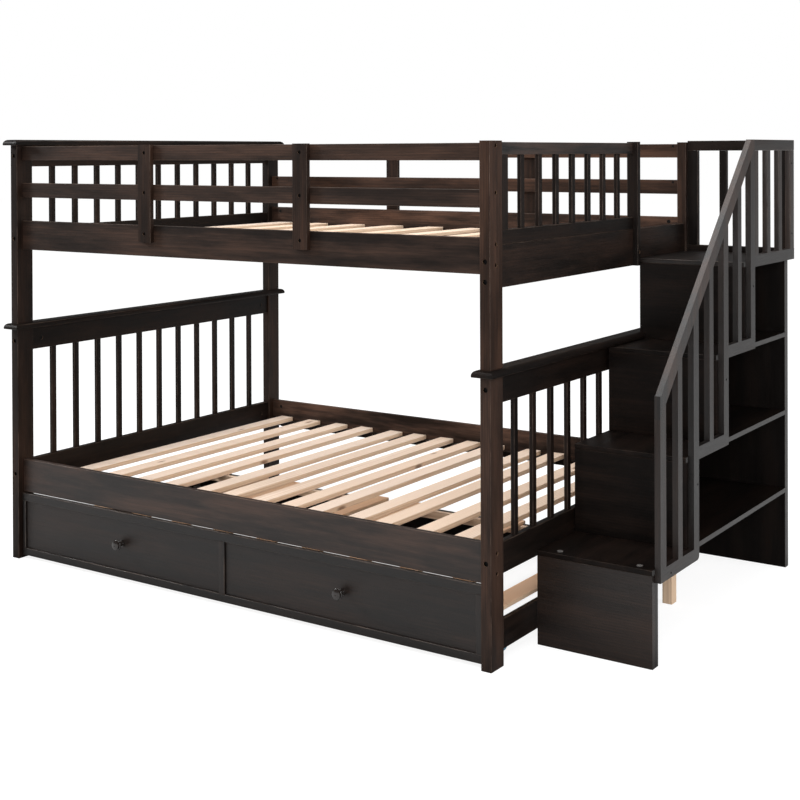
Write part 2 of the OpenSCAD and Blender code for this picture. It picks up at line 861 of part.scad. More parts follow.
module rail_screw_holes() {
  at_rail_screws() {
    translate([0, 0, -screw_bore]) cylinder(h = screw_bore + over, r = screw_head_r + fit);
    translate([0, 0, -screw_reach]) cylinder(h = screw_reach, r = screw_r + running);
  }
}

// Screws down through the first tread into its batten
module at_tread_screws() {
  for (x = [stair_x + tread_screw_in[0], rail_x - tread_screw_in[1]])
    translate([x, riser_y(0) + riser_thick + batten / 2, tread_z(0)]) children();
}

module tread_screw_holes() {
  at_tread_screws() {
    translate([0, 0, -screw_head - running]) cylinder(h = screw_head + over, r = screw_head_r + fit);
    translate([0, 0, -tread_screw - fit]) cylinder(h = tread_screw, r = screw_r + running);
  }
}

tread_screw = 30;
tread_screw_in = [61, 50];
tread_cap_r = 9;
tread_cap_h = 1.5;

// The bolt through the newel into the end board
newel_bolt_rise = 46;

module at_newel_bolt() {
  translate([foot_face + board_thick, newel_y + newel_w / 2, end_board_z + newel_bolt_rise])
    rotate([0, 90, 0]) children();
}

module newel_bolt_hole() {
  at_newel_bolt() bolt_hole(support_bore, side_bore_r, support_reach);
}

// Hardware
module bed_bolts() color(steel) {
  at_side_bolts([0, 1], lower_side_bolts) bolt(side_bore, side_bore_r, side_reach);
  at_side_bolts([0, 1], upper_side_bolts) bolt(side_bore, side_bore_r, side_reach);
  at_side_bolts([0, 1], guard_bolt_z) bolt(side_bore, side_bore_r, guard_reach);
  at_end_bolts(0, lower_end_bolts(0)) bolt(end_bore, end_bore_r, end_reach);
  at_end_bolts(1, lower_end_bolts(1)) bolt(end_bore, end_bore_r, end_reach);
  at_end_bolts(0, head_end_bolts) bolt(end_bore, end_bore_r, end_reach);
  at_end_bolts(1, foot_end_bolts) bolt(end_bore, end_bore_r, end_reach);
}

// A barrel nut along +Z with its cross hole for the bolt, which runs along X
module barrel_nut(r) {
  difference() {
    cylinder(h = nut_length - 1, r = r);
    translate([0, 0, board_thick / 2 - (board_thick - nut_length)]) rotate([0, 90, 0])
      cylinder(h = 2 * r + 2, r = bolt_r + running, center = true);
  }
}

module side_nuts(inset, heights, r) {
  for (x = [post_thick + inset, bed_length - post_thick - inset], z = heights)
    front_and_back() translate([x, front_in - nut_length, z]) rotate([-90, 0, 0]) barrel_nut(r);
}

module end_nuts(end, heights) {
  for (z = heights) front_and_back()
    translate([end_nut_x(end), post_depth + bolt_nut_in, z])
      rotate([0, end == 0 ? 90 : -90, 0]) rotate([0, 0, 90]) barrel_nut(nut_r);
}

module barrel_nuts() color(steel) {
  side_nuts(bolt_nut_in, concat(lower_side_bolts, upper_side_bolts), nut_r);
  side_nuts(guard_nut_in, guard_bolt_z, guard_nut_r);
  end_nuts(0, concat(lower_end_bolts(0), head_end_bolts));
  end_nuts(1, concat(lower_end_bolts(1), foot_end_bolts));
}

module joint_screws() color(steel) {
  at_supports(support_bolts) bolt(support_bore, side_bore_r, support_reach);
  at_newel_bolt() bolt(support_bore, side_bore_r, support_reach);
  at_rail_screws() {
    translate([0, 0, -screw_bore]) cylinder(h = screw_head, r = screw_head_r);
    translate([0, 0, -screw_reach + 2]) cylinder(h = screw_reach - 2 - screw_bore, r = screw_r);
  }
  at_tread_screws() {
    translate([0, 0, -screw_head]) cylinder(h = screw_head, r = screw_head_r);
    cylinder(h = tread_cap_h, r = tread_cap_r);
    translate([0, 0, -tread_screw]) cylinder(h = tread_screw - screw_head, r = screw_r);
  }
}

module stacking_pins() color(steel)
  at_pins() translate([0, 0, lower_height - pin_half]) cylinder(h = cap_thick + 2 * pin_half, r = pin_r);

// Trundle: a board with a raised frame of strips on its face
module trundle_front() color(stain) {
  x0 = trundle_front_x;
  x1 = bed_length - trundle_front_x;
  z1 = trundle_z + trundle_front_h;
  ground = trundle_face + strip;
  top_h = 28;
  bottom_h = 26;
  stile = [16, 24];
  middle = 24;
  middle_x = bed_length / 2 - 13;
  strips_back = ground - glue;
  stile_low = trundle_z + bottom_h + glue;
  stile_high = z1 - top_h - glue;
  difference() {
    board([x0, ground, trundle_z], [x1, trundle_in, z1], 0);
    at_knobs() translate([0, 0, -board_thick - over]) cylinder(h = board_thick + over, r = knob_stem_r + fit);
  }
  board([x0, trundle_face, z1 - top_h], [x1, strips_back, z1], 0);
  board([x0, trundle_face, trundle_z], [x1, strips_back, trundle_z + bottom_h], 0);
  for (x = [[x0, x0 + stile[0]], [middle_x - middle / 2, middle_x + middle / 2], [x1 - stile[1], x1]])
    board([x[0], trundle_face, stile_low], [x[1], strips_back, stile_high], 2);
}

knob_stem_r = 5;

module at_knobs() {
  middle = bed_length / 2;
  for (x = [middle - knob_inset, middle + knob_inset])
    translate([x, trundle_face, knob_z]) rotate([90, 0, 0]) children();
}

// A turned knob: stem in the board, a collar, a neck and a domed head
module trundle_knobs() color(knob_brown) at_knobs() rotate_extrude() {
  r = knob_d / 2;
  collar = 4;
  rim = 3;
  dome = 9;
  dome_r = 45;
  head = knob_out - dome - 2 * rim;
  translate([0, 1 - board_thick]) square([knob_stem_r, board_thick]);
  translate([0, -strip]) square([r * 0.62, collar]);
  translate([0, collar - strip]) square([r * 0.45, knob_out - dome - rim]);
  translate([0, head]) square([r - rim, 2 * rim]);
  intersection() {
    translate([r - rim, head + rim]) circle(rim);
    translate([0, head]) square([r, 2 * rim]);
  }
  translate([0, knob_out - dome]) intersection() {
    translate([0, dome - dome_r]) circle(r = dome_r, $fn = 96);
    square([r - rim, dome]);
  }
}

module trundle_back_board() color(stain)
  board([trundle_end_x + trundle_end_thick, trundle_back - board_thick, trundle_z],
    [bed_length - trundle_end_x - trundle_end_thick, trundle_back, trundle_deck_z], 0);

module trundle_end_boards() color(stain)
  for (x = [trundle_end_x, bed_length - trundle_end_x - trundle_end_thick])
    board([x, trundle_in, trundle_end_z],
      [x + trundle_end_thick, trundle_back, trundle_end_z + trundle_end_h], 1);

// Bearers behind the front board and before the back board carry the slats' ends
module trundle_bearers() color(pine) {
  x0 = trundle_end_x + trundle_end_thick;
  for (y = [trundle_in, trundle_back - board_thick - cleat])
    board([x0, y, trundle_deck_z - cleat_h], [bed_length - x0, y + cleat, trundle_deck_z], 0);
}

module trundle_slats() color(pine) {
  x0 = trundle_end_x + trundle_end_thick + trundle_slat_in;
  deck(trundle_slat_count, trundle_slat_w, trundle_deck_z, trundle_slat_thick, x0,
    bed_length - x0, trundle_in, trundle_back);
}

// Casters, front pair first, each mirrored so that its plate faces the end board
caster_places = [for (y = caster_y, x = [caster_x, bed_length - caster_x]) [x, y]];
axle_z = wheel_d / 2;
bracket_z = wheel_d + 5;
flange_h = 25;
flange_z = bracket_z + flange_h;
bracket_w = 40;
boss_r = 8;

module at_casters() {
  for (p = caster_places) translate([p[0], p[1], 0]) mirror([p[0] > bed_length / 2 ? 1 : 0, 0, 0]) children();
}

// A cheek of a bracket, from the boss round the axle up to a height
module cheek(x, top) {
  side_profile(x, plate) {
    translate([0, axle_z]) circle(boss_r);
    polygon([[-boss_r, axle_z], [boss_r, axle_z], [bracket_w / 2, bracket_z - plate], [bracket_w / 2, top],
      [-bracket_w / 2, top], [-bracket_w / 2, bracket_z - plate]]);
  }
}

// A folded bracket: its outer cheek is screwed to the end board, its inner one hangs from the fold
module caster_brackets() color(steel) at_casters() difference() {
  union() {
    cheek(-cheek_x - plate, flange_z);
    cheek(cheek_x, bracket_z);
    translate([-cheek_x - plate, -bracket_w / 2, bracket_z - plate])
      cube([2 * (cheek_x + plate), bracket_w, plate]);
  }
  translate([0, 0, axle_z]) rotate([0, 90, 0])
    cylinder(h = 2 * (cheek_x + plate + over), r = axle_r + running, center = true);
}

// An axle flush with the outer cheek, with its head on the inner one
module caster_axles() color(steel) at_casters() translate([0, 0, axle_z]) rotate([0, 90, 0]) {
  cylinder(h = 2 * (cheek_x + plate), r = axle_r, center = true);
  translate([0, 0, cheek_x + plate]) cylinder(h = 2, r = axle_r + 2);
}

// A wheel: a tyre with rounded shoulders on a thinner web, and a hub
module wheel(k) {
  p = caster_places[k - 1];
  r = wheel_d / 2;
  w = wheel_w / 2;
  bore = axle_r + running;
  round_r = 3;
  hub = 5;
  tyre = 8;
  recess = 4;
  translate([p[0], p[1], axle_z]) rotate([0, 90, 0]) rotate_extrude($fn = 72) {
    translate([bore, -w]) square([hub, 2 * w]);
    translate([bore, recess - w]) square([r - bore - tyre + over, 2 * (w - recess)]);
    translate([r - tyre, -w]) square([tyre - round_r, 2 * w]);
    translate([r - tyre, round_r - w]) square([tyre, 2 * (w - round_r)]);
    for (y = [-w + round_r, w - round_r]) translate([r - round_r, y]) circle(round_r);
  }
}

module caster_wheel_1() color(wheel_blue) wheel(1);
module caster_wheel_2() color(wheel_blue) wheel(2);
module caster_wheel_3() color(wheel_blue) wheel(3);
module caster_wheel_4() color(wheel_blue) wheel(4);

place() {
  lower_head_posts();
  lower_foot_posts();
  lower_head_cap();
  lower_foot_cap();
  lower_head_rails();
  lower_foot_rails();
  lower_head_slats();
  lower_foot_slats();
  lower_front_rail();
  lower_back_rail();
  slat_ledges();
  lower_mattress_slats();
  upper_head_posts();
  upper_foot_posts();
  upper_head_cap();
  upper_head_rails();
  upper_head_slats();
  foot_top_rail();
  foot_guard_rail();
  foot_end_board();
  foot_stile();
  foot_slats();
  foot_newel();
  upper_front_rail();
  upper_back_rail();
  front_guard_boards();
  back_guard_boards();
  guard_supports();
  upper_mattress_slats();
  stair_risers();
  first_tread();
  second_tread();
  third_tread();
  landing_board();
  stair_side_panels();
  stair_back_panel();
  stair_framing();
  stair_shelf_leg();
  handrail();
  rail_posts();
  rail_balusters();
  rail_soles();
  landing_fence_side();
  landing_fence_back();
  bed_bolts();
  barrel_nuts();
  joint_screws();
  stacking_pins();
  trundle_front();
  trundle_back_board();
  trundle_end_boards();
  trundle_bearers();
  trundle_slats();
  trundle_knobs();
  caster_brackets();
  caster_axles();
  caster_wheel_1();
  caster_wheel_2();
  caster_wheel_3();
  caster_wheel_4();
}
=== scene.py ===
import json
import math
import zlib

import bpy
import numpy as np
from mathutils import Matrix, Vector


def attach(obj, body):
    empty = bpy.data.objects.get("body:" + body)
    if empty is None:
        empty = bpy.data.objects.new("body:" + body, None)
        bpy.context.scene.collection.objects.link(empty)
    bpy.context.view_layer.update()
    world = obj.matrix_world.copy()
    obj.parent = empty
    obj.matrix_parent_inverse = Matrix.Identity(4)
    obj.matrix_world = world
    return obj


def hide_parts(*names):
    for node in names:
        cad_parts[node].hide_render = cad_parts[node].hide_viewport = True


# Bunk bed with a storage stair and a trundle: stained boards, raw slats, fittings, light, camera
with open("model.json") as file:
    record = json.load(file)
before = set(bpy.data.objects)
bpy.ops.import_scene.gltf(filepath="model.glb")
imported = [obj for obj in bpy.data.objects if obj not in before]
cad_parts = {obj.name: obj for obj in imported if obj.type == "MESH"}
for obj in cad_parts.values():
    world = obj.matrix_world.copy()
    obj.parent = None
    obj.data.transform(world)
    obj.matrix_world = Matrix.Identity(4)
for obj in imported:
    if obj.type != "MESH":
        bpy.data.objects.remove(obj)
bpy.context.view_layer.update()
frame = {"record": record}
nodeSlots = {part["node"]: part["material_slot"] for part in frame["record"]["subparts"]}
nodeBodies = {node: body for body, nodes in frame["record"]["behaviour"]["bodies"].items()
              for node in nodes}


# A node with its properties; each input is linked to a socket or takes a plain value
def addNode(tree, kind, inputs=(), **settings):
    node = tree.nodes.new(kind)
    for name, value in settings.items():
        setattr(node, name, value)
    for name, value in dict(inputs).items():
        if isinstance(value, bpy.types.NodeSocket):
            tree.links.new(value, node.inputs[name])
        elif value is not None:
            node.inputs[name].default_value = value
    return node


# A Math node of one or two operands
def mathNode(tree, operation, first, second=None, clamp=False):
    return addNode(tree, "ShaderNodeMath", {0: first, 1: second}, operation=operation,
                   use_clamp=clamp).outputs[0]


# A Vector Math node of two operands
def vectorNode(tree, operation, first, second):
    return addNode(tree, "ShaderNodeVectorMath", {0: first, 1: second},
                   operation=operation).outputs[0]


# A colour mix; its sockets 0, 6 and 7 are the factor and the two colours
def mixColour(tree, amount, first, second, blend="MIX"):
    return addNode(tree, "ShaderNodeMix", {0: amount, 6: first, 7: second}, data_type="RGBA",
                   blend_type=blend).outputs[2]


# A Map Range from one span of values to another, clamped
def mapRange(tree, value, span, target=(0.0, 1.0), smooth=False):
    return addNode(tree, "ShaderNodeMapRange", enumerate((value, *span, *target)), clamp=True,
                   interpolation_type="SMOOTHSTEP" if smooth else "LINEAR").outputs[0]


# A noise read at a coordinate
def noiseNode(tree, place, scale=1.0, detail=4.0, roughness=0.6):
    return addNode(tree, "ShaderNodeTexNoise", {"Vector": place, "Scale": scale, "Detail": detail,
                                                "Roughness": roughness})


# A shader node group with its inputs and outputs declared by name
def newGroup(name, inputs, outputs):
    tree = bpy.data.node_groups.new(name, "ShaderNodeTree")
    for label, kind, value in inputs:
        socket = tree.interface.new_socket(name=label, in_out="INPUT", socket_type=kind)
        if value is not None:
            socket.default_value = value
    for label, kind in outputs:
        tree.interface.new_socket(name=label, in_out="OUTPUT", socket_type=kind)
    return tree, tree.nodes.new("NodeGroupInput"), tree.nodes.new("NodeGroupOutput")


# Figure of wood: waves and patches per metre along and across the grain, and the spans over
# which a ring darkens and fades, and a pore or patch shows
figureLook = {
    "wander": (1.1, 7.0, 7.0),
    "ringRise": (0.0, 0.82),
    "ringFall": (0.86, 1.0),
    "poresAlong": 9.0,
    "poreSpan": (0.4, 0.62),
    "patches": (2.2, 16.0, 16.0),
    "patchSpan": (0.32, 0.68),
}


# Timber in the round: growth rings are cylinders about a distant pith, so end grain and face
# grain come from one pattern. X of the coordinate runs along the grain; a ring is the fraction
# of the distance from the pith over the ring width, and a slow noise bends them.
def buildWoodFigure(look):
    tree, source, result = newGroup(
        "woodFigure",
        [("Grain", "NodeSocketVector", None), ("Ring Width", "NodeSocketFloat", 0.007),
         ("Waviness", "NodeSocketFloat", 0.012), ("Pore Density", "NodeSocketFloat", 900.0)],
        [("Rings", "NodeSocketFloat"), ("Pores", "NodeSocketFloat"), ("Patches", "NodeSocketFloat")],
    )
    grain, ringWidth, waviness, poreDensity = list(source.outputs)[:4]
    wander = noiseNode(tree, vectorNode(tree, "MULTIPLY", grain, look["wander"]),
                       detail=3.0, roughness=0.5)
    centred = vectorNode(tree, "SUBTRACT", wander.outputs["Color"], (0.5, 0.5, 0.5))
    bent = vectorNode(tree, "ADD", grain, vectorNode(tree, "MULTIPLY", centred, waviness))
    parts = addNode(tree, "ShaderNodeSeparateXYZ", {0: bent}).outputs
    squares = [mathNode(tree, "POWER", parts[axis], 2.0) for axis in (1, 2)]
    radius = mathNode(tree, "SQRT", mathNode(tree, "ADD", *squares))
    turn = mathNode(tree, "FRACT", mathNode(tree, "DIVIDE", radius, ringWidth))
    rise = mapRange(tree, turn, look["ringRise"], smooth=True)
    fall = mapRange(tree, turn, look["ringFall"], (1.0, 0.0), smooth=True)
    spread = addNode(tree, "ShaderNodeCombineXYZ",
                     {"X": look["poresAlong"], "Y": poreDensity, "Z": poreDensity})
    pores = noiseNode(tree, vectorNode(tree, "MULTIPLY", bent, spread.outputs[0]))
    patches = noiseNode(tree, vectorNode(tree, "MULTIPLY", grain, look["patches"]),
                        detail=5.0, roughness=0.62)
    for label, value in (
        ("Rings", mathNode(tree, "MULTIPLY", rise, fall)),
        ("Pores", mapRange(tree, pores.outputs["Fac"], look["poreSpan"])),
        ("Patches", mapRange(tree, patches.outputs["Fac"], look["patchSpan"], smooth=True)),
    ):
        tree.links.new(value, result.inputs[label])
    return tree


# Wear of arrises with a painted highlight along them: noises per metre, and the span of the noise
# that shows as rubbed and lit
edgeWearAndHighlightLook = {"scale": 14.0, "detail": 4.0, "roughness": 0.65, "span": (0.35, 0.7)}


# Arrises rubbed and painted with highlights in places: the edge mark on a board, times a noise and an
# amount
def buildEdgeWearAndHighlight(look):
    tree, source, result = newGroup(
        "edgeWear",
        [("Edge", "NodeSocketFloat", 0.0), ("Place", "NodeSocketVector", None),
         ("Amount", "NodeSocketFloat", 0.5)],
        [("Wear", "NodeSocketFloat")],
    )
    rub = noiseNode(tree, source.outputs["Place"], look["scale"], look["detail"], look["roughness"])
    broken = mapRange(tree, rub.outputs["Fac"], look["span"])
    marked = mathNode(tree, "MULTIPLY", source.outputs["Edge"], broken)
    wear = mathNode(tree, "MULTIPLY", marked, source.outputs["Amount"], clamp=True)
    tree.links.new(wear, result.inputs["Wear"])
    return tree


woodFigure = buildWoodFigure(figureLook)
edgeWear = buildEdgeWearAndHighlight(edgeWearAndHighlightLook)
print("node groups ready")


# A material with its tree and its Principled BSDF, ready for links
def newMaterial(name):
    material = bpy.data.materials.new(name)
    material.use_nodes = True
    return material, material.node_tree, material.node_tree.nodes["Principled BSDF"]


# What a dressed board carries. The tone is its warmth, its depth of stain (on a raw board its
# share of a darker tan painted as shade) and how mottled it is; the marks are its arrises, rubbed
# and with painted highlights, its holes, painted in shade, and its sides and edges with painted
# light.
def readBoard(tree):
    grain, tone = (addNode(tree, "ShaderNodeAttribute", attribute_name=label).outputs["Vector"]
                   for label in ("grain", "boardTone"))
    marks = (addNode(tree, "ShaderNodeAttribute", attribute_name=label).outputs["Fac"]
             for label in ("edgeMark", "cutMark", "bandMark"))
    return (grain, *addNode(tree, "ShaderNodeSeparateXYZ", {0: tone}).outputs, *marks)


# The rings, pores and patches of a board's wood
def readFigure(tree, grain, look):
    figure = addNode(tree, "ShaderNodeGroup", node_tree=woodFigure)
    tree.links.new(grain, figure.inputs["Grain"])
    for label, key in (("Ring Width", "ringWidth"), ("Waviness", "waviness"),
                       ("Pore Density", "poreDensity")):
        figure.inputs[label].default_value = look[key]
    return [figure.outputs[label] for label in ("Rings", "Pores", "Patches")]


# One colour laid over the tone so far, by a share of a mask
def layOver(tree, mask, share, tone, colour):
    return mixColour(tree, mathNode(tree, "MULTIPLY", mask, share), tone, colour)


# Bump from a sum of weighted heights
def addBump(tree, shader, heights, distance):
    parts = [mathNode(tree, "MULTIPLY", socket, weight) for socket, weight in heights]
    total = parts[0]
    for part in parts[1:]:
        total = mathNode(tree, "ADD", total, part)
    bump = addNode(tree, "ShaderNodeBump", {"Height": total, "Strength": 1.0, "Distance": distance})
    tree.links.new(bump.outputs["Normal"], shader.inputs["Normal"])


# Dark brown stain under a satin lacquer, and the same with less gloss. Shares say how far a
# ring, a pore, the painted shade in a hole, a raw rim or a painted sheen on an edge covers the stain.
stainLook = {
    "deep": (0.0026, 0.0019, 0.0016, 1.0),
    "brown": (0.0086, 0.0057, 0.0046, 1.0),
    "red": (0.0195, 0.0096, 0.0060, 1.0),
    "worn": (0.150, 0.105, 0.080, 1.0),
    "bare": (0.260, 0.160, 0.100, 1.0),
    # A grey sheen painted on the outer edges of some stair boards
    "band": (0.085, 0.083, 0.082, 1.0),
    "patchWarmth": 0.5,
    "ringShare": 0.30,
    "poreShare": 0.45,
    "wear": 0.5,
    "holeSpan": (0.2, 0.4),
    "holeShare": 0.85,
    "rimSpan": (0.88, 1.0),
    "rimShare": 0.8,
    "bandShare": 0.7,
    "roughness": (0.33, 0.47),
    "dullPores": 0.6,
    "dullPatches": 0.4,
    "specular": 0.5,
    "ringWidth": 0.008,
    "waviness": 0.012,
    "poreDensity": 850.0,
    "poreHeight": -0.7,
    "ringHeight": -0.3,
    "bump": 0.00016,
}
mattLook = {**stainLook, "specular": 0.14, "roughness": (0.36, 0.50)}


def makeStain(name, look):
    material, tree, shader = newMaterial(name)
    grain, warmth, depth, mottle, edge, holeShadeAndRim, band = readBoard(tree)
    rings, pores, patches = readFigure(tree, grain, look)
    centred = mathNode(tree, "SUBTRACT", patches, 0.5)
    patchWarmth = mathNode(tree, "MULTIPLY", centred, look["patchWarmth"])
    warm = mathNode(tree, "ADD", warmth, patchWarmth, clamp=True)
    tone = mixColour(tree, warm, look["brown"], look["red"])
    tone = layOver(tree, rings, look["ringShare"], tone, look["deep"])
    tone = layOver(tree, pores, look["poreShare"], tone, look["deep"])
    swing = mathNode(tree, "MULTIPLY", mathNode(tree, "MULTIPLY", centred, 2.0), mottle)
    strength = mathNode(tree, "MULTIPLY", depth, mathNode(tree, "ADD", swing, 1.0))
    tint = addNode(tree, "ShaderNodeCombineColor", {0: strength, 1: strength, 2: strength})
    tone = mixColour(tree, 1.0, tone, tint.outputs[0], blend="MULTIPLY")
    # Arrises: rubbed wear and a painted highlight, broken by a noise
    wear = addNode(tree, "ShaderNodeGroup", node_tree=edgeWear)
    tree.links.new(edge, wear.inputs["Edge"])
    tree.links.new(grain, wear.inputs["Place"])
    wear.inputs["Amount"].default_value = look["wear"]
    tone = mixColour(tree, wear.outputs["Wear"], tone, look["worn"])
    # Inside a hole the stain goes dark: painted shade; at the mouth a raw rim
    holeShade = mapRange(tree, holeShadeAndRim, look["holeSpan"], (0.0, look["holeShare"]))
    tone = mixColour(tree, holeShade, tone, look["deep"])
    rim = mapRange(tree, holeShadeAndRim, look["rimSpan"], (0.0, look["rimShare"]))
    tone = mixColour(tree, rim, tone, look["bare"])
    # Outer edges of some stair boards: a painted grey sheen
    tone = layOver(tree, band, look["bandShare"], tone, look["band"])
    tree.links.new(tone, shader.inputs["Base Color"])
    dull = mathNode(tree, "ADD", mathNode(tree, "MULTIPLY", pores, look["dullPores"]),
                    mathNode(tree, "MULTIPLY", patches, look["dullPatches"]))
    tree.links.new(mapRange(tree, dull, (0.0, 1.0), look["roughness"]), shader.inputs["Roughness"])
    shader.inputs["Specular IOR Level"].default_value = look["specular"]
    addBump(tree, shader, [(pores, look["poreHeight"]), (rings, look["ringHeight"])], look["bump"])
    return material


# Raw sanded pine of the slats, the bearers and the stair's inner leg
pineLook = {
    "pale": (0.88, 0.76, 0.67, 1.0),
    "warm": (0.84, 0.65, 0.50, 1.0),
    # A darker, saturated tan painted as the shade under the bed
    "tan": (0.80, 0.44, 0.22, 1.0),
    # Slat sides painted lighter and warmer: painted bounce light between the slats
    "sawn": (0.98, 0.72, 0.50, 1.0),
    "late": (0.55, 0.33, 0.18, 1.0),
    "knot": (0.20, 0.095, 0.045, 1.0),
    "bandShare": 0.85,
    "patchShare": 0.35,
    "ringShare": 0.38,
    "poreShare": 0.14,
    "knotShare": 0.8,
    "knotCells": (3.2, 9.0, 9.0),
    "knotSpan": (0.03, 0.11),
    "roughness": (0.55, 0.72),
    "specular": 0.3,
    "ringWidth": 0.0065,
    "waviness": 0.016,
    "poreDensity": 700.0,
    "poreHeight": -0.6,
    "ringHeight": 0.3,
    "knotHeight": -0.4,
    "bump": 0.0002,
}


def makePine(name, look):
    material, tree, shader = newMaterial(name)
    grain, warmth, shadedTanShare, _, _, _, sides = readBoard(tree)
    rings, pores, patches = readFigure(tree, grain, look)
    # A share of darker tan: painted shade under the bed
    tone = mixColour(tree, shadedTanShare, mixColour(tree, warmth, look["pale"], look["warm"]), look["tan"])
    # A slat's sides: painted bounce light, lighter and warmer
    tone = layOver(tree, sides, look["bandShare"], tone, look["sawn"])
    tone = layOver(tree, patches, look["patchShare"], tone, look["warm"])
    tone = layOver(tree, rings, look["ringShare"], tone, look["late"])
    tone = layOver(tree, pores, look["poreShare"], tone, look["late"])
    stretched = vectorNode(tree, "MULTIPLY", grain, look["knotCells"])
    spots = addNode(tree, "ShaderNodeTexVoronoi",
                    {"Vector": stretched, "Scale": 1.0, "Randomness": 1.0}, feature="F1")
    knots = mapRange(tree, spots.outputs["Distance"], look["knotSpan"], (1.0, 0.0), smooth=True)
    tone = layOver(tree, knots, look["knotShare"], tone, look["knot"])
    tree.links.new(tone, shader.inputs["Base Color"])
    tree.links.new(mapRange(tree, pores, (0.0, 1.0), look["roughness"]), shader.inputs["Roughness"])
    shader.inputs["Specular IOR Level"].default_value = look["specular"]
    addBump(tree, shader, [(pores, look["poreHeight"]), (rings, look["ringHeight"]),
                           (knots, look["knotHeight"])], look["bump"])
    return material


# Fittings: two tones of each, its sheen, and a fine cloud's scale and relief
steelLook = {
    "base": (0.007, 0.0065, 0.0065, 1), "other": (0.003, 0.003, 0.003, 1), "metallic": 0.10,
    "roughness": (0.45, 0.6), "specular": 0.1, "coat": 0.0, "scale": 220, "bump": 0.00004,
}
zincLook = {
    "base": (0.55, 0.55, 0.57, 1), "other": (0.38, 0.39, 0.42, 1), "metallic": 1.0,
    "roughness": (0.28, 0.45), "specular": 0.5, "coat": 0.0, "scale": 160, "bump": 0.00004,
}
knobLook = {
    "base": (0.010, 0.008, 0.007, 1), "other": (0.018, 0.012, 0.010, 1), "metallic": 0.0,
    "roughness": (0.16, 0.26), "specular": 0.5, "coat": 0.4, "scale": 90, "bump": 0.00003,
}
wheelLook = {
    "base": (0.22, 0.46, 0.62, 1), "other": (0.15, 0.36, 0.54, 1), "metallic": 0.0,
    "roughness": (0.30, 0.42), "specular": 0.5, "coat": 0.0, "scale": 120, "bump": 0.00005,
}
capLook = {
    "base": (0.13, 0.12, 0.115, 1), "other": (0.09, 0.085, 0.08, 1), "metallic": 0.0,
    "roughness": (0.35, 0.5), "specular": 0.5, "coat": 0.0, "scale": 300, "bump": 0.00003,
}
fittingLook = {"cloudSpan": (0.3, 0.7), "coatRoughness": 0.12}


# Metal, turned knobs, wheels and screw caps: tone, roughness and relief follow one fine cloud
def makeFitting(name, look):
    material, tree, shader = newMaterial(name)
    place = addNode(tree, "ShaderNodeTexCoord").outputs["Object"]
    cloud = noiseNode(tree, place, look["scale"], detail=5.0).outputs["Fac"]
    span = fittingLook["cloudSpan"]
    tone = mixColour(tree, mapRange(tree, cloud, span), look["base"], look["other"])
    tree.links.new(tone, shader.inputs["Base Color"])
    tree.links.new(mapRange(tree, cloud, span, look["roughness"]), shader.inputs["Roughness"])
    shader.inputs["Metallic"].default_value = look["metallic"]
    shader.inputs["Specular IOR Level"].default_value = look["specular"]
    shader.inputs["Coat Weight"].default_value = look["coat"]
    shader.inputs["Coat Roughness"].default_value = fittingLook["coatRoughness"]
    addBump(tree, shader, [(cloud, 1.0)], look["bump"])
    return material


slotFinishes = {
    "stained_wood": makeStain("mattStain", mattLook),
    "raw_pine": makePine("sandedPine", pineLook),
    "dark_steel": makeFitting("blackOxideSteel", steelLook),
    "zinc_steel": makeFitting("zincSteel", zincLook),
    "dark_knob": makeFitting("lacqueredKnob", knobLook),
    "blue_wheel": makeFitting("blueWheel", wheelLook),
}
satinStain = makeStain("satinStain", stainLook)
screwCap = makeFitting("paleScrewCap", capLook)
print("materials ready:", ", ".join(sorted(slotFinishes)))

# How boards are dressed; lengths are in metres
boardLook = {
    "weldSteps": 1e5,            # steps per metre to which corners are rounded and joined
    "pith": (0.05, 0.16),        # how far the pith lies from a board's middle
    "grainStart": 20,            # how far the figure's start strays along a board
    "warmthStray": 0.2,
    "depthStray": (0.85, 1.2),
    "edgeBand": 0.0045,          # an arris lies this near to two sides of its board's box
    "mouthBand": 0.0016,         # light rim of a drilled hole
    "straight": 0.9,             # a face turned to an axis more than this isn't an arris
    "turned": 0.3,               # a face turned to an axis less than this doesn't face it
    "upright": 0.5,              # a slat's side faces up less than this
    # The raw-end arrises, and the other arrises on those boards, are rubbed and carry a painted
    # highlight
    "rawEndWear": 4.0,           # wear of raw end arrises, and of the others on those boards
    "otherWear": 0.3,
    "lowestBand": 0.01,          # height within which a board counts as its node's lowest
    "smoothAngle": math.radians(55),
}

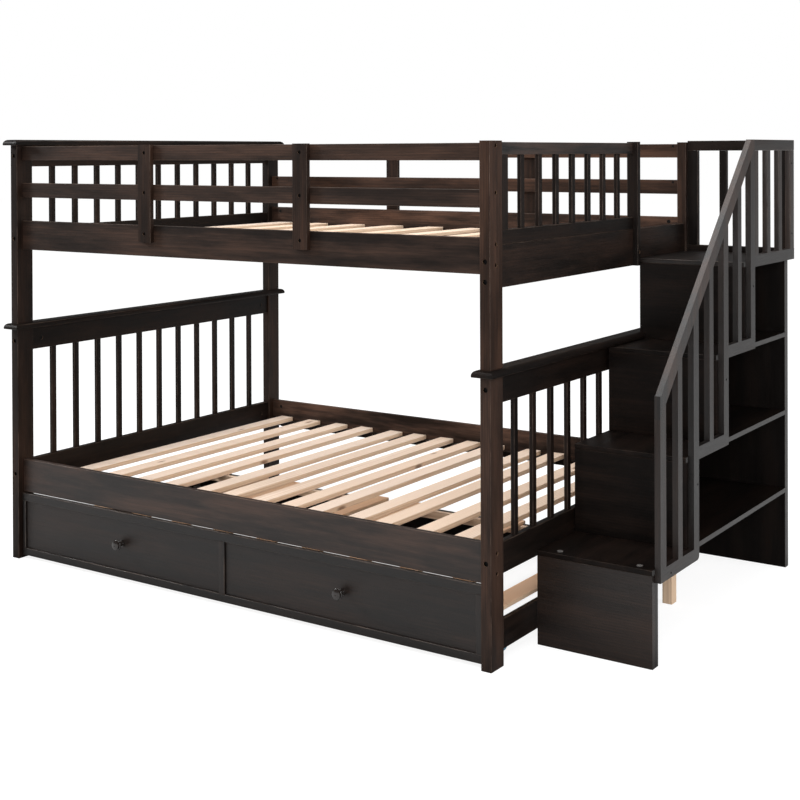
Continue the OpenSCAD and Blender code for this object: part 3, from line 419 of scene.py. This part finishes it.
# Warmth, depth of stain and mottling of the boards; each board then strays a little from these
plainTone = (0.25, 1.0, 0.35)
boardTones = {
    "lower_head_posts": (0.55, 1.25, 0.4),
    "upper_head_posts": (0.55, 1.25, 0.4),
    "lower_foot_posts": (0.45, 3.2, 0.4),
    "upper_foot_posts": (0.85, 2.2, 0.4),
    "lower_front_rail": (0.30, 2.4, 0.6),
    "upper_front_rail": (0.30, 2.5, 0.5),
    # The back rails' lighter, mottled stain also stands in for the light on their inner faces: partly
    # painted light
    "lower_back_rail": (0.45, 6.0, 0.7),
    "upper_back_rail": (0.75, 4.6, 0.7),
    "front_guard_boards": (0.30, 3.0, 0.4),
    "back_guard_boards": (0.85, 3.0, 0.5),
    "guard_supports": (0.75, 1.8, 0.4),
    # The foot top rail's lighter, streaky stain is partly a painted sheen
    "foot_top_rail": (0.10, 2.0, 1.2),
    "foot_end_board": (0.40, 1.15, 0.5),
    "foot_newel": (0.30, 0.9, 0.3),
    "stair_risers": (0.35, 0.75, 0.3),
    "first_tread": (0.25, 0.7, 0.3),
    "second_tread": (0.25, 0.7, 0.3),
    "third_tread": (0.25, 0.7, 0.3),
    "landing_board": (0.25, 0.7, 0.3),
    "stair_side_panels": (0.20, 0.6, 0.3),
    "stair_framing": (0.20, 0.6, 0.3),
    "stair_back_panel": (0.20, 0.6, 0.3),
    "handrail": (0.95, 1.5, 0.9),
    "landing_fence_side": (0.70, 0.9, 0.6),
    "landing_fence_back": (0.25, 0.8, 0.3),
}
# Share of a darker tan painted on the trundle's slats: painted shade under the bed
shadedTanShares = {"trundle_slats": 0.7}

# Nodes in the satin finish; nodes whose lowest board alone is satin, with so many times the depth
# of stain as a painted sheen; nodes with a painted grey sheen on the outer edge, with rubbed raw
# ends that carry a painted highlight, with holes painted in shade to the mouth, and with holes that
# have a light raw rim too
satinNodes = ("lower_front_rail", "trundle_front", "rail_posts", "rail_balusters", "rail_soles",
              "handrail", "stair_framing", "foot_top_rail", "landing_fence_side", "landing_board")
satinLowestWithSheen = {"stair_risers": 1.6}
sheenEdgeNodes = ("first_tread", "second_tread", "third_tread", "landing_board", "stair_back_panel")
rawEndNodes = ("first_tread", "second_tread", "third_tread", "stair_risers")
shadedHoleNodes = ("rail_posts", "rail_soles", "landing_fence_side")
drilledNodes = shadedHoleNodes + (
    "lower_head_posts", "lower_foot_posts", "upper_head_posts", "upper_foot_posts",
    "guard_supports", "foot_newel", "lower_front_rail", "lower_back_rail", "upper_front_rail",
    "upper_back_rail", "front_guard_boards", "back_guard_boards", "upper_head_rails",
    "lower_head_rails", "lower_foot_rails", "foot_end_board")

# Arrises planed beside the gap over the trundle: the heights between which they lie, and how
# far they rise at the head end and at the stair's end
planedNodes = {
    "trundle_front": {"between": (0.2215, 0.2240), "rise": (0.004, 0.010)},
    "lower_front_rail": {"between": (0.2420, 0.2450), "rise": (-0.005, -0.005)},
}
planedEnds = (-1.15, 0.8)


# The node's triangles with their shared corners joined, as arrays
def weldedMesh(node):
    mesh = bpy.data.objects[node].data
    corners = np.empty(len(mesh.vertices) * 3, np.float32)
    mesh.vertices.foreach_get("co", corners)
    triangles = np.empty(len(mesh.loops), np.int32)
    mesh.loops.foreach_get("vertex_index", triangles)
    corners = corners.reshape(-1, 3)
    keys = np.round(corners * boardLook["weldSteps"]).astype(np.int64)
    _, first, where = np.unique(keys, axis=0, return_index=True, return_inverse=True)
    triangles = where.reshape(-1)[triangles].reshape(-1, 3)
    solid = (triangles != np.roll(triangles, 1, axis=1)).all(1)
    return corners[first], triangles[solid]


# Each point's board: the lowest point number it is joined to, spread along edges
def islandsOf(pointCount, triangles):
    label = np.arange(pointCount)
    while True:
        low = label[triangles].min(axis=1)
        spread = label.copy()
        for side in range(3):
            np.minimum.at(spread, triangles[:, side], low)
        spread = spread[spread]
        if (spread == label).all():
            return np.unique(label, return_inverse=True)[1]
        label = spread


# The lowest and highest corner of each point's board, its grain and its tone. The grain's X
# runs along the board's longest side, Y and Z are measured from a pith outside the board.
def readBoards(node, points, board):
    low, high, grain, tone = (np.zeros_like(points) for _ in range(4))
    warmth, depth, mottle = boardTones.get(node, plainTone)
    lowest = points[:, 2].min() + boardLook["lowestBand"]
    for index in range(board.max() + 1):
        mine = board == index
        small, large = points[mine].min(0), points[mine].max(0)
        low[mine], high[mine] = small, large
        random = np.random.default_rng(zlib.crc32(f"{node}{index}".encode()))
        along = int(np.argmax(large - small))
        across = [axis for axis in range(3) if axis != along]
        middle = (small + large) / 2
        angle = random.uniform(0, 2 * math.pi)
        pith = random.uniform(*boardLook["pith"])
        start = random.uniform(-boardLook["grainStart"], boardLook["grainStart"])
        grain[mine, 0] = points[mine, along] + start
        for place, axis, reach in zip((1, 2), across, (math.cos(angle), math.sin(angle))):
            grain[mine, place] = points[mine, axis] - middle[axis] + pith * reach
        if nodeSlots[node] == "raw_pine":
            tone[mine] = (random.uniform(0, 1), shadedTanShares.get(node, 0.0), 0.0)
        else:
            stray = random.uniform(-boardLook["warmthStray"], boardLook["warmthStray"])
            # The lowest board of such a node gets a lighter stain: a painted sheen
            lift = satinLowestWithSheen.get(node, 1.0) if small[2] < lowest else 1.0
            lift *= random.uniform(*boardLook["depthStray"])
            tone[mine] = (warmth + stray, depth * lift, mottle)
    return low, high, grain, tone


# Each corner's marks. Edge: a face near two sides of its board's box that is turned to neither;
# it is rubbed and carries a painted highlight. Hole: a face inside the box, one half deep in a hole,
# painted in shade, and one at its mouth with a raw rim. Painted light: a slat's sides, lighter and
# warmer, and the outer edge of some of the stair's boards, a grey sheen. A normal is the cross
# product of two of a triangle's sides over its length.
def markCorners(node, points, triangles, low, high):
    look = boardLook
    sides = points[triangles]
    normal = np.cross(sides[:, 1] - sides[:, 0], sides[:, 2] - sides[:, 0])
    normal /= np.maximum(np.linalg.norm(normal, axis=1, keepdims=True), 1e-12)
    centre = sides.mean(1)
    small, large = low[triangles[:, 0]], high[triangles[:, 0]]
    near = np.minimum(centre - small, large - centre) < look["edgeBand"]
    edge = ((near.sum(1) >= 2) & (np.abs(normal).max(1) < look["straight"])).astype(np.float32)
    if node in rawEndNodes:
        edge *= np.where(normal[:, 0] < -look["turned"], look["rawEndWear"], look["otherWear"])
    outer = ((np.abs(normal) > look["turned"]) & near).any(1)
    inside = ~outer & (node in drilledNodes)
    # Holes of these nodes are painted in shade right up to the mouth, with no raw rim
    rim = 0.0 if node in shadedHoleNodes else look["mouthBand"]
    mouth = np.minimum(points - low, high - points).min(1) < rim
    holeShadeAndRim = inside[:, None] * (0.5 + 0.5 * mouth[triangles])
    # A raw slat's sides take painted bounce light; a stained board's outer edge, on the listed nodes,
    # takes a painted sheen
    if nodeSlots[node] == "raw_pine":
        band = np.abs(normal[:, 2]) < look["upright"]
    else:
        outermost = centre[:, 0] > points[:, 0].max() - look["edgeBand"]
        band = (normal[:, 0] > look["turned"]) & outermost & (node in sheenEdgeNodes)
    return {"edgeMark": np.repeat(edge, 3), "cutMark": holeShadeAndRim.ravel(), "bandMark": np.repeat(band, 3)}


# A new piece takes over from a CAD node, which it hides: it joins the node's body, and each of
# its triangles has one of the finishes.
def replaceNode(node, points, triangles, finishes, chosen):
    first, *others = node.split("_")
    name = first + "".join(word.capitalize() for word in others)
    mesh = bpy.data.meshes.new(name)
    mesh.from_pydata(points.tolist(), [], triangles.tolist())
    for finish in finishes:
        mesh.materials.append(finish)
    mesh.polygons.foreach_set("material_index", chosen.astype(np.int32))
    mesh.shade_smooth()
    mesh.set_sharp_from_angle(angle=boardLook["smoothAngle"])
    piece = bpy.data.objects.new(name, mesh)
    bpy.context.scene.collection.objects.link(piece)
    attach(piece, nodeBodies[node])
    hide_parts(node)
    return piece


# A copy of a node's boards that knows their grain, tones and marks
def dressBoards(node):
    points, triangles = weldedMesh(node)
    if node in planedNodes:
        bottom, top = planedNodes[node]["between"]
        line = (points[:, 2] > bottom) & (points[:, 2] < top)
        points[line, 2] += np.interp(points[line, 0], planedEnds, planedNodes[node]["rise"])
    low, high, grain, tone = readBoards(node, points, islandsOf(len(points), triangles))
    finishes = [satinStain if node in satinNodes else slotFinishes[nodeSlots[node]]]
    chosen = np.zeros(len(triangles), bool)
    if node in satinLowestWithSheen:
        finishes.append(satinStain)
        chosen = low[triangles[:, 0], 2] < points[:, 2].min() + boardLook["lowestBand"]
    piece = replaceNode(node, points, triangles, finishes, chosen)
    make = piece.data.attributes.new
    for label, values in (("grain", grain), ("boardTone", tone)):
        make(label, "FLOAT_VECTOR", "POINT").data.foreach_set("vector", values.ravel())
    for label, values in markCorners(node, points, triangles, low, high).items():
        make(label, "FLOAT", "CORNER").data.foreach_set("value", values.astype(np.float32))
    even = piece.modifiers.new("evenNormals", "WEIGHTED_NORMAL")
    even.keep_sharp = True
    even.weight = 100


woodNodes = [node for node, slot in nodeSlots.items() if slot in ("stained_wood", "raw_pine")]
for node in woodNodes:
    dressBoards(node)
print("dressed", len(woodNodes), "wooden nodes")

# Heights between which the pale flat caps over the first tread's screws lie
screwCapBand = (0.2791, 0.2815)


# The screws keep their dark heads, and the caps are pale
def dressScrews(node, band):
    points, triangles = weldedMesh(node)
    height = points[triangles][:, :, 2].mean(1)
    capped = (height > band[0]) & (height < band[1])
    replaceNode(node, points, triangles, [slotFinishes["dark_steel"], screwCap], capped)


dressScrews("joint_screws", screwCapBand)
for node in sorted(set(nodeSlots) - set(woodNodes) - {"joint_screws"}):
    finishes = bpy.data.objects[node].data.materials
    finishes.clear()
    finishes.append(slotFinishes[nodeSlots[node]])
print("finished the metal and plastic nodes")

# Light: white surroundings, a key lamp from the front left, a fill lamp from the front right, a
# panel on the stair's side and a soft lamp overhead. In the lacquer the room shows dimmer in
# front and high up behind: spans of the heading's Y and Z.
lightLook = {
    "worldGlow": 0.72,
    "frontGloss": 0.06,
    "backGloss": 0.46,
    "highGloss": 0.12,
    "turnSpan": (-0.75, 0.25),
    "heightSpan": (0.03, 0.12),
}
lampLooks = {
    "keyLamp": {"place": (-6.4, -3.3, 3.8), "size": (1.3, 1.3), "power": 250, "aim": (0.0, 0.0, 0.7)},
    "fillLamp": {"place": (3.3, -4.7, 1.7), "size": (2.0, 1.4), "power": 120, "aim": (0.2, 0.0, 0.5)},
    "sidePanel": {"place": (5.8, 1.2, 3.4), "size": (3.0, 3.0), "power": 120, "aim": (1.0, 0.0, 0.8)},
    "overheadLamp": {"place": (-0.5, -0.8, 5.5), "size": (5.0, 4.0), "power": 260,
                     "aim": (-0.2, 0.0, 0.5)},
}


# A square of light at its place, turned to what it aims at
def addLamp(name, look):
    lamp = bpy.data.lights.new(name, "AREA")
    lamp.shape = "RECTANGLE"
    lamp.size, lamp.size_y = look["size"]
    lamp.energy = look["power"]
    holder = bpy.data.objects.new(name, lamp)
    holder.location = look["place"]
    heading = Vector(look["aim"]) - Vector(look["place"])
    holder.rotation_euler = heading.to_track_quat("-Z", "Y").to_euler()
    bpy.context.scene.collection.objects.link(holder)


# What a mirroring or clear surface sees, by a brightness
def mirrorGlow(tree, path, brightness):
    rays = mathNode(tree, "ADD", path["Is Glossy Ray"], path["Is Transmission Ray"], clamp=True)
    return mathNode(tree, "MULTIPLY", rays, brightness)


# White to the camera, plain light to diffuse surfaces, and a shaped room to the lacquer
def makeSurroundings(look):
    world = bpy.data.worlds.new("whiteRoom")
    world.use_nodes = True
    bpy.context.scene.world = world
    sky = world.node_tree
    path = addNode(sky, "ShaderNodeLightPath").outputs
    room = addNode(sky, "ShaderNodeTexCoord").outputs["Generated"]
    heading = addNode(sky, "ShaderNodeSeparateXYZ", {0: room}).outputs
    behind = mapRange(sky, heading[2], look["heightSpan"], (look["backGloss"], look["highGloss"]),
                      smooth=True)
    turned = mapRange(sky, heading[1], look["turnSpan"], smooth=True)
    inFront = mathNode(sky, "SUBTRACT", 1.0, turned)
    backdrop = mathNode(sky, "ADD", mathNode(sky, "MULTIPLY", turned, behind),
                        mathNode(sky, "MULTIPLY", inFront, look["frontGloss"]))
    seen = mathNode(sky, "ADD", path["Is Camera Ray"], mirrorGlow(sky, path, backdrop), clamp=True)
    lit = mathNode(sky, "MULTIPLY", path["Is Diffuse Ray"], look["worldGlow"])
    background = sky.nodes["Background"]
    sky.links.new(mathNode(sky, "ADD", seen, lit), background.inputs["Strength"])
    background.inputs["Color"].default_value = (1.0, 1.0, 1.0, 1.0)


makeSurroundings(lightLook)
for name, look in lampLooks.items():
    addLamp(name, look)

# Floor: white to the eye, with a faint shadow. Its glow in the lacquer's mirror image fades in past
# the bed's half length and half depth: under the bed that glow is left out, a painted shade.
floorLook = {
    "half": 30.0,
    "grid": 9,
    "drop": 0.0005,
    "glow": 0.84,
    "paint": 0.26,
    "roughness": 0.9,
    "specular": 0.1,
    "gloss": 0.42,
    "under": (1.22, 0.78),
    "fade": (-0.05, 0.10),
}


# A flat sheet as a grid of two parameters
def makeFloor(look):
    count = look["grid"]
    line = np.linspace(-look["half"], look["half"], count)
    across, away = np.meshgrid(line, line, indexing="ij")
    points = np.stack([across, away, np.full_like(across, -look["drop"])], -1).reshape(-1, 3)
    start = (np.arange(count - 1)[:, None] * count + np.arange(count - 1)).ravel()
    faces = np.stack([start, start + count, start + count + 1, start + 1], 1)
    mesh = bpy.data.meshes.new("studioFloor")
    mesh.from_pydata(points.tolist(), [], faces.tolist())
    floor = bpy.data.objects.new("studioFloor", mesh)
    bpy.context.scene.collection.objects.link(floor)
    material, tree, shader = newMaterial("floorPaint")
    shader.inputs["Base Color"].default_value = (look["paint"], look["paint"], look["paint"], 1.0)
    shader.inputs["Roughness"].default_value = look["roughness"]
    shader.inputs["Specular IOR Level"].default_value = look["specular"]
    shader.inputs["Emission Color"].default_value = (1.0, 1.0, 1.0, 1.0)
    path = addNode(tree, "ShaderNodeLightPath").outputs
    place = addNode(tree, "ShaderNodeTexCoord").outputs["Object"]
    spot = addNode(tree, "ShaderNodeSeparateXYZ", {0: place}).outputs
    near, far = look["fade"]
    beyond = [mapRange(tree, mathNode(tree, "ABSOLUTE", spot[axis]), (reach + near, reach + far),
                       smooth=True) for axis, reach in enumerate(look["under"])]
    image = mathNode(tree, "MULTIPLY", mathNode(tree, "MAXIMUM", *beyond), look["gloss"])
    seen = mathNode(tree, "MULTIPLY", path["Is Camera Ray"], look["glow"])
    glow = mathNode(tree, "ADD", seen, mirrorGlow(tree, path, image))
    tree.links.new(glow, shader.inputs["Emission Strength"])
    mesh.materials.append(material)


makeFloor(floorLook)
print("light and floor ready")

# Camera: the photograph's station point, its turn about Z, its small dip and roll, and the
# picture's height above the lens axis as a shift
cameraLook = {
    "station": (2.7513, -4.0381, 1.4588),
    "turn": math.radians(34.131),
    "dip": math.radians(0.3435),
    "roll": math.radians(-0.2251),
    "focalPixels": 1368.1,
    "axisRow": 160.14,
    "pictureSide": 800,
    "sensor": 36.0,
    "farthest": 200.0,
}


def placeCamera(look):
    data = bpy.data.cameras.new("photoCamera")
    data.sensor_width = look["sensor"]
    data.sensor_fit = "HORIZONTAL"
    data.lens = look["focalPixels"] / look["pictureSide"] * data.sensor_width
    data.shift_y = -(look["pictureSide"] / 2 - look["axisRow"]) / look["pictureSide"]
    data.clip_end = look["farthest"]
    camera = bpy.data.objects.new("photoCamera", data)
    turn = Matrix.Rotation(look["turn"], 4, "Z")
    lean = Matrix.Rotation(math.pi / 2 - look["dip"], 4, "X")
    roll = Matrix.Rotation(look["roll"], 4, "Z")
    camera.matrix_world = Matrix.Translation(look["station"]) @ turn @ lean @ roll
    bpy.context.scene.collection.objects.link(camera)
    bpy.context.scene.camera = camera


placeCamera(cameraLook)
bpy.context.scene.view_settings.view_transform = "Standard"
print("camera placed")
